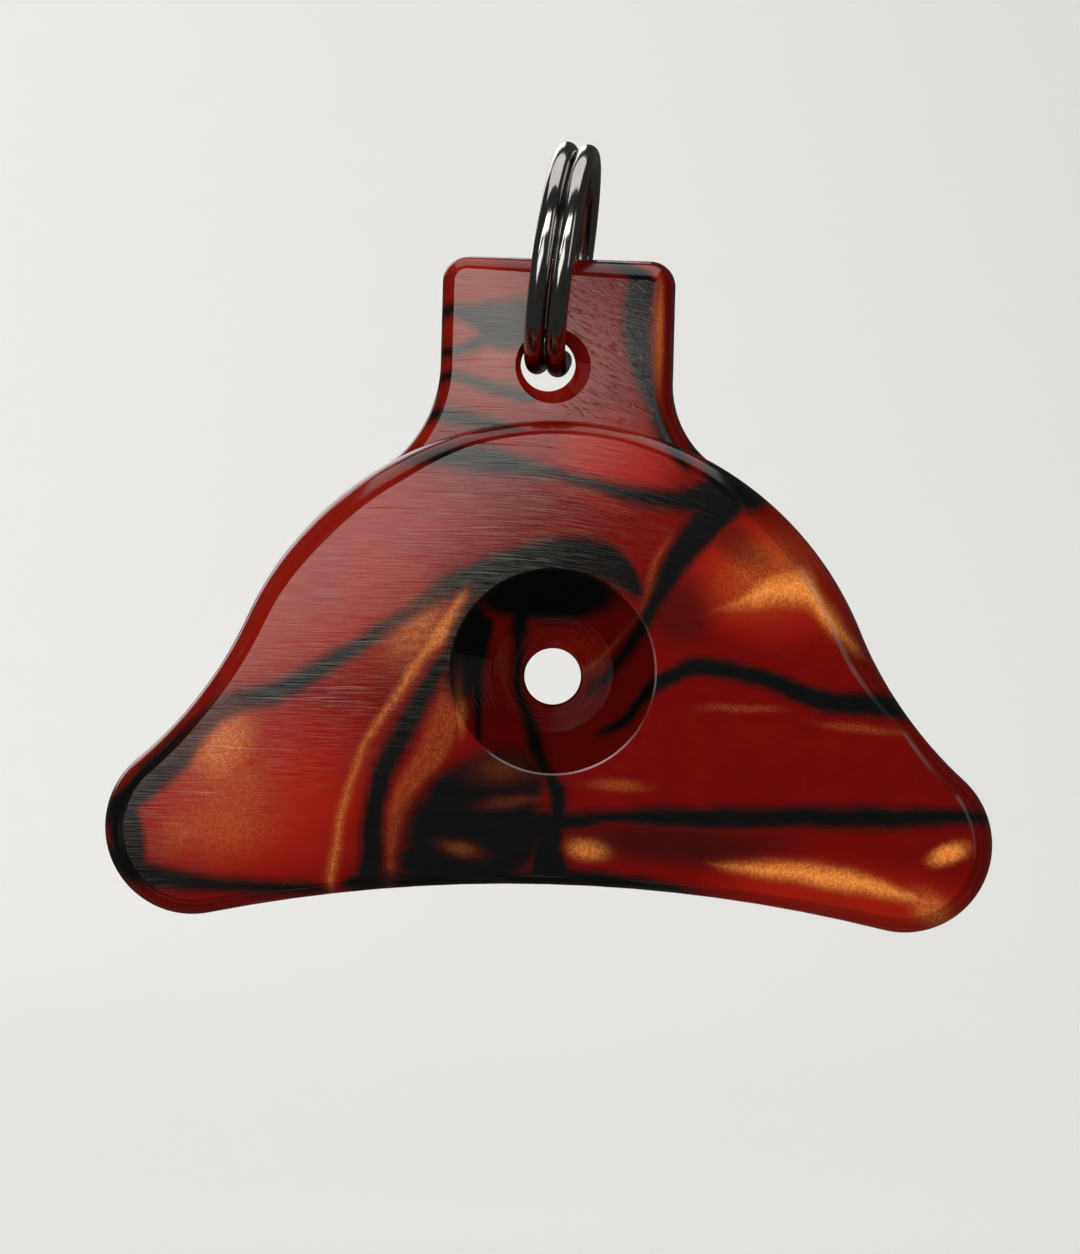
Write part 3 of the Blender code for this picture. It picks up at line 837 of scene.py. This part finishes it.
def brushed(n, place):
    """Fine, nearly level sanding lines that lean over towards the right and are sanded deeper at the
    upper left, where a painted grey haze, a painted reflection of the light, also lies over the
    colour.
    The tab also has slanting gouges on its right and a painted grey haze on its left."""
    apart = n.add("ShaderNodeSeparateXYZ", inputs={"Vector": place}).node
    x, z = apart.outputs["X"], apart.outputs["Z"]
    rightward = n.math("MAXIMUM", n.math("ADD", x, 3.0), 0.0)
    lean = n.math("MULTIPLY", n.math("POWER", rightward, 2.0), 0.016)
    line = n.add("ShaderNodeCombineXYZ", inputs={
        "X": n.math("MULTIPLY", x, 0.16), "Y": 0.0, "Z": n.math("ADD", z, lean)})
    # Strongest at the upper left: it deepens the sanding lines there and also sets a painted sheen
    # of grey haze.
    worn_and_sheen = n.math("MULTIPLY", n.ramp(n.math("MULTIPLY_ADD", z, -1.5, x), 2.0, -12.0),
                  n.ramp(x, 7.0, -2.0, 0.25, 1.0))
    fine = n.noise(n.stretch(line, (1.6, 1.0, 10.0)), 1.0, 3.0, 0.65)
    deep = n.ramp(n.noise(n.stretch(line, (0.9, 1.0, 3.2)), 1.0, 2.0, 0.6), 0.60, 0.74)
    deep = n.math("MULTIPLY", deep, worn_and_sheen)
    height = n.math("MULTIPLY", n.math("MULTIPLY_ADD", deep, -1.2, fine), BRUSH_DEPTH)
    wear = n.math("MULTIPLY", n.math("SUBTRACT", fine, 0.5), 0.25)
    slant = n.add("ShaderNodeVectorRotate", rotation_type="Y_AXIS", inputs={
        "Vector": place, "Angle": math.radians(-33.0)})
    gouges = n.ramp(n.noise(n.stretch(slant, (1.0, 0.0, 6.5)), 1.0, 2.0, 0.6), 0.54, 0.66)
    on_tab = n.math("MULTIPLY", n.ramp(z, 12.4, 14.0), n.ramp(x, -0.5, 3.0))
    gouges = n.math("MULTIPLY", gouges, on_tab)
    height = n.math("MULTIPLY_ADD", gouges, -GOUGE_DEPTH, height)
    hairs = n.ramp(n.noise(n.stretch(line, (3.0, 1.0, 15.0)), 1.0, 3.0, 0.7), 0.42, 0.66)
    # A painted grey haze on the tab's left, standing in for a reflection of the light.
    painted_veil = n.math("MULTIPLY", n.ramp(z, 11.5, 15.0), n.ramp(x, 2.0, -3.0, 0.0, 0.12))
    # Grey over the colour: real scuffing along the fine lines, with a painted sheen at the upper
    # left and a painted grey haze on the tab's left.
    scuff_and_sheen = n.math("MULTIPLY_ADD", hairs, n.math("MULTIPLY_ADD", worn_and_sheen, 0.15, 0.006), painted_veil)
    scuff_and_sheen = n.math("MULTIPLY_ADD", gouges, 0.14, scuff_and_sheen)
    return height, wear, scuff_and_sheen


def satin(n, place):
    """Faint tool marks that follow the edge round."""
    marks = n.noise(n.stretch(place, (0.25, 9.0, 0.25)), 1.0, 3.0, 0.6)
    height = n.math("MULTIPLY", marks, SATIN_DEPTH)
    wear = n.math("MULTIPLY", n.math("SUBTRACT", marks, 0.5), 0.2)
    # The marks grey the colour a little: scuffing, together with a painted sheen on the edges.
    return height, wear, n.math("MULTIPLY", n.ramp(marks, 0.5, 0.8), 0.06)


def polished(n, place):
    """A clear polish, with circular scratches on the dish's floor."""
    apart = n.add("ShaderNodeSeparateXYZ", inputs={"Vector": place}).node
    flat = n.add("ShaderNodeCombineXYZ", inputs={"X": apart.outputs["X"], "Z": apart.outputs["Z"]})
    radius = n.vector("LENGTH", flat, out="Value")
    floor = n.ramp(radius, DISH_FLOOR_R, DISH_FLOOR_R - 0.1)
    angle = n.math("ARCTAN2", apart.outputs["Z"], apart.outputs["X"])
    line = n.add("ShaderNodeCombineXYZ", inputs={"X": n.math("MULTIPLY", radius, 9.0), "Y": angle})
    rings = n.math("MULTIPLY", n.noise(line, 1.0, 3.0, 0.7), floor)
    height = n.math("MULTIPLY", rings, POLISH_DEPTH)
    wear = n.math("MULTIPLY", rings, 0.2)
    return height, wear, n.math("MULTIPLY", n.ramp(rings, 0.45, 0.75), 0.03)


def steel():
    """Dark nickel plate over drawn wire: lines along it, and a few duller patches."""
    material, n, shader = new_material("dark_nickel")
    wire = n.add("ShaderNodeAttribute", out="Vector", attribute_name="wire")
    lines = n.noise(n.stretch(wire, (5.0, 5.0, 0.10)), 1.0, 3.0, 0.6)
    patches = n.noise(n.stretch(wire, (0.8, 0.8, 0.5)), 1.0, 3.0, 0.6)
    bump = n.add("ShaderNodeBump", inputs={
        "Height": n.math("MULTIPLY", lines, WIRE_LINE_DEPTH), "Distance": MM, "Strength": 1.0})
    rough = n.math("MULTIPLY_ADD", n.math("ADD", lines, patches), 0.11, 0.02)
    for key, value in (("Base Color", n.mix(patches, NICKEL_DARK, NICKEL_LIGHT)),
                       ("Metallic", 1.0), ("Roughness", rough), ("Normal", bump)):
        n.feed(shader.inputs[key], value)
    return material


# ---------------------------------------------------------------- studio

CAMERA_DISTANCE = 450.0
FRAME_HEIGHT = 64.0       # what the picture's long side covers at the object
FRAME_SHIFT_X = -0.44     # from the object's middle to the picture's middle
FRAME_SHIFT_Z = -4.64
AMBIENT = 0.05
SURROUND = 0.66           # what the camera sees beyond the paper
SENSOR = 36.0

# The paper, as seen from its side
FLOOR_DROP = 22.0         # from the object's lowest point
FLOOR_FRONT = -1200.0
SWEEP_R = 300.0
SWEEP_STEPS = 24
WALL_Y = 760.0
WALL_TOP = 1200.0         # above the floor
PAPER_HALF = 1600.0
PAPER = (0.80, 0.79, 0.77, 1.0)

# Softboxes: (name, place, target, width and height, radiance, degrees turned, shows in gloss).
# Places and targets are counted from the object's middle.
LIGHTS = [
    ("key", (-83.0, -204.0, 9.0), (-6.0, 0.0, 6.0), (170.0, 100.0), 2.55, 33.0, True),
    ("top_front", (0.0, -420.0, 265.0), (0.0, 0.0, 0.0), (420.0, 170.0), 3.6, 0.0, True),
    ("overhead", (0.0, 120.0, 620.0), (0.0, 200.0, 0.0), (900.0, 600.0), 1.6, 0.0, True),
    ("wall_wash", (0.0, 300.0, 420.0), (0.0, 760.0, 250.0), (1400.0, 300.0), 0.45, 0.0, True),
    ("rim_strip", (-265.0, -416.0, 265.0), (0.0, 0.0, 0.0), (500.0, 50.0), 7.0, 45.0, True),
    ("right_strip", (300.0, -170.0, 60.0), (0.0, 0.0, 0.0), (60.0, 260.0), 1.2, 0.0, True),
    ("right_fill", (260.0, -420.0, 245.0), (0.0, 0.0, 0.0), (400.0, 400.0), 1.4, 0.0, False),
    ("left_fill", (-290.0, -420.0, 245.0), (0.0, 0.0, 0.0), (400.0, 400.0), 1.3, 0.0, False),
    ("back_fill", (-220.0, 620.0, 330.0), (0.0, 0.0, 0.0), (500.0, 400.0), 2.0, 0.0, True),
]


def plain(name, colour, roughness):
    material, n, shader = new_material(name)
    shade = n.mix(n.noise(n.add("ShaderNodeTexCoord", out="Object"), 6.0, 3.0), colour,
                  tuple(c * 0.97 for c in colour[:3]) + (1.0,))
    n.feed(shader.inputs["Base Color"], shade)
    n.feed(shader.inputs["Roughness"], roughness)
    return material


def make_backdrop(low):
    """A pale floor that sweeps up behind into a wall, and leaves no glare on the gloss."""
    floor_z = low.z / MM - FLOOR_DROP
    floor_end = WALL_Y - SWEEP_R
    wall_foot = floor_z + SWEEP_R
    line = [(FLOOR_FRONT, floor_z), (floor_end, floor_z)]
    for i in range(1, SWEEP_STEPS):
        a = math.radians(-90.0 + 90.0 * i / SWEEP_STEPS)
        line.append((floor_end + SWEEP_R * math.cos(a), wall_foot + SWEEP_R * math.sin(a)))
    line += [(WALL_Y, wall_foot), (WALL_Y, floor_z + WALL_TOP)]

    def build(shape):
        rows = [[shape.verts.new(Vector((x, y, z)) * MM) for x in (-PAPER_HALF, PAPER_HALF)]
                for y, z in line]
        for lower, upper in zip(rows, rows[1:]):
            shape.faces.new((lower[0], lower[1], upper[1], upper[0]))

    mesh = mesh_from("backdrop", build)
    mesh.shade_smooth()
    mesh.materials.append(plain("pale_paper", PAPER, 0.9))
    backdrop = add_object("backdrop", mesh)
    backdrop.visible_glossy = False


def make_light(middle, name, place, target, size, radiance, turn, in_gloss):
    """A rectangular white softbox that the camera doesn't see. radiance is its brightness."""
    light = bpy.data.lights.new(name, "AREA")
    light.shape = "RECTANGLE"
    light.size, light.size_y = (s * MM for s in size)
    light.energy = radiance * math.pi * light.size * light.size_y
    item = bpy.data.objects.new(name, light)
    bpy.context.scene.collection.objects.link(item)
    here, there = middle + Vector(place), middle + Vector(target)
    towards = (there - here).to_track_quat("-Z", "Y")
    spin = Matrix.Rotation(math.radians(turn), 4, "Z")
    item.matrix_world = Matrix.Translation(here * MM) @ towards.to_matrix().to_4x4() @ spin
    item.visible_camera = False
    item.visible_glossy = in_gloss


def make_world():
    """Dim all round, so that the faces turned to the camera stay clear, behind a pale surround."""
    world = bpy.data.worlds.new("studio")
    world.use_nodes = True
    n = Nodes(world.node_tree)
    seen = n.add("ShaderNodeLightPath", out="Is Camera Ray")
    strength = n.math("MULTIPLY_ADD", seen, SURROUND - AMBIENT, AMBIENT)
    n.feed(world.node_tree.nodes["Background"].inputs["Strength"], strength)
    world.node_tree.nodes["Background"].inputs["Color"].default_value = (1.0, 0.985, 0.965, 1.0)
    return world


def make_studio(low, high):
    """Surround, lights and camera round the object's box."""
    scene = bpy.context.scene
    scene.view_settings.view_transform = "Standard"
    scene.world = make_world()

    middle = (low + high) / 2 / MM
    aim = Vector((middle.x, 0.0, middle.z))
    for light in LIGHTS:
        make_light(aim, *light)

    camera = bpy.data.objects.new("camera", bpy.data.cameras.new("camera"))
    scene.collection.objects.link(camera)
    camera.data.sensor_width = SENSOR
    camera.data.lens = SENSOR * CAMERA_DISTANCE / FRAME_HEIGHT
    camera.data.clip_start = 0.01
    camera.location = (aim + Vector((FRAME_SHIFT_X, -CAMERA_DISTANCE, FRAME_SHIFT_Z))) * MM
    camera.rotation_euler = (math.pi / 2, 0.0, 0.0)
    scene.camera = camera


# ---------------------------------------------------------------- scene

# (name, roughness, coat, coat roughness, shade, surface), in the order of the finishes; shade is a
# painted shade that darkens the colour
FINISHES = [("brushed_acrylic", 0.42, 1.0, 0.07, 0.0, brushed),
            ("satin_acrylic", 0.30, 0.8, 0.12, 0.28, satin),
            ("polished_acrylic", 0.25, 0.07, 0.05, 0.60, polished),
            ("drilled_acrylic", 0.35, 0.08, 0.10, 0.30, satin)]

swirl = swirl_group()
whistle = make_whistle([acrylic(swirl, *finish) for finish in FINISHES])
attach(whistle, "whistle")
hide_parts("whistle_body")

ring = make_split_ring(steel())
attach(ring, "ring")
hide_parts("split_ring")

make_studio(*CAD_BOX)
make_backdrop(CAD_BOX[0])
